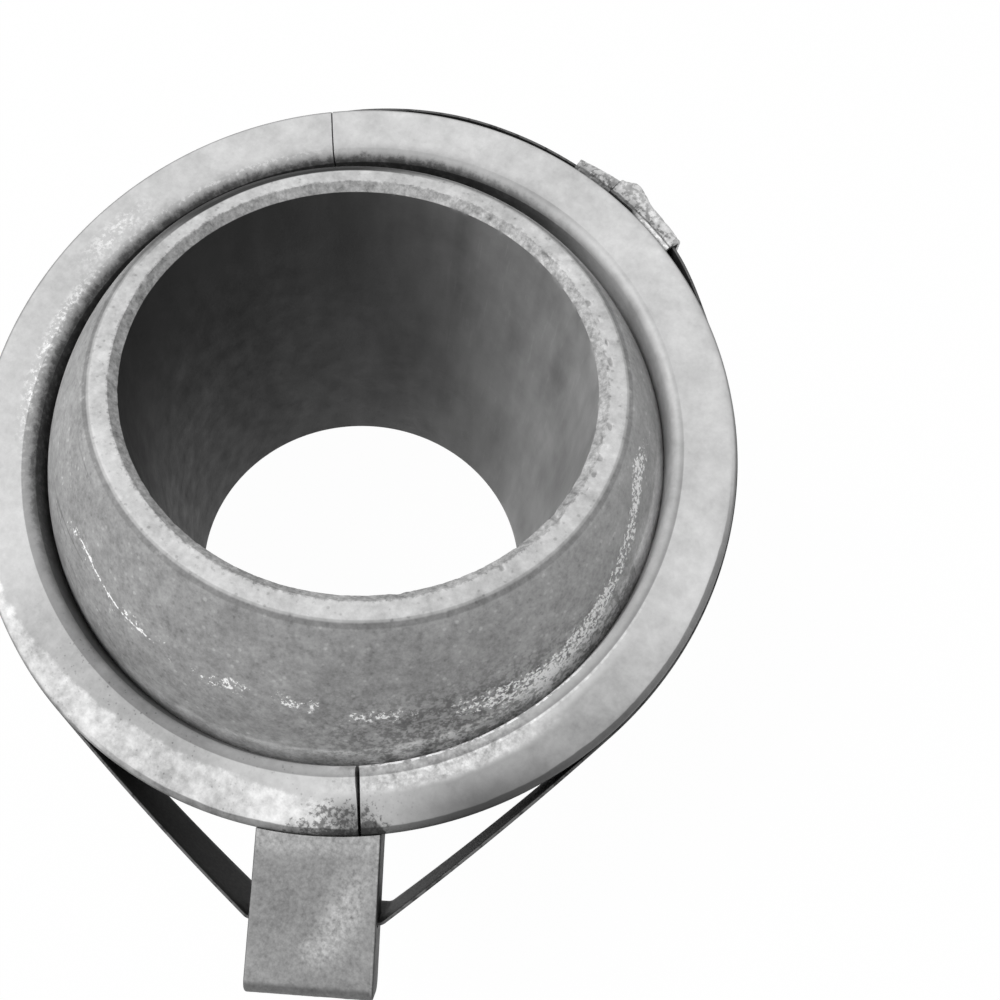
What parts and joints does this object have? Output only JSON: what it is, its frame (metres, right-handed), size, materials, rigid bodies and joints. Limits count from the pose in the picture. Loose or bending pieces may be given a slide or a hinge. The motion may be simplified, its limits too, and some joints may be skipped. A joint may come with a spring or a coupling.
{
  "type": "spherical plain bearing",
  "caption": "Spherical plain bearing with a split outer ring held by a steel strap over a slotted block; the outer ring tilts on the ball-shaped inner ring.",
  "frame": {"origin": "centre of the ball, in the middle of the bore", "axes": "+Z along the bore axis, upwards; X is the axis about which the outer ring leans, and it leans towards -Y at rest"},
  "size_m": [0.1812, 0.2133, 0.109],
  "materials": {
    "inner_ring_steel": "ground and worn",
    "outer_ring_steel": "ground, stained and blotchy",
    "blackened_strap": "satin black",
    "zinc_seal": "dull zinc with dark specks",
    "block_steel": "dull and grainy"
  },
  "bodies": {
    "inner": {"inner_ring": "inner_ring_steel"},
    "outer": {"outer_ring_left_half": "outer_ring_steel", "outer_ring_right_half": "outer_ring_steel", "steel_strap": "blackened_strap", "strap_seal_short": "zinc_seal", "strap_seal_long": "zinc_seal", "spacer_block": "block_steel"}
  },
  "joints": [
    {"name": "outer_ring_tilt", "type": "hinge", "parent": "inner", "child": "outer", "pos_m": [0, 0, 0], "axis": [1, 0, 0], "range_deg": [-26.5, 3.5]}
  ]
}
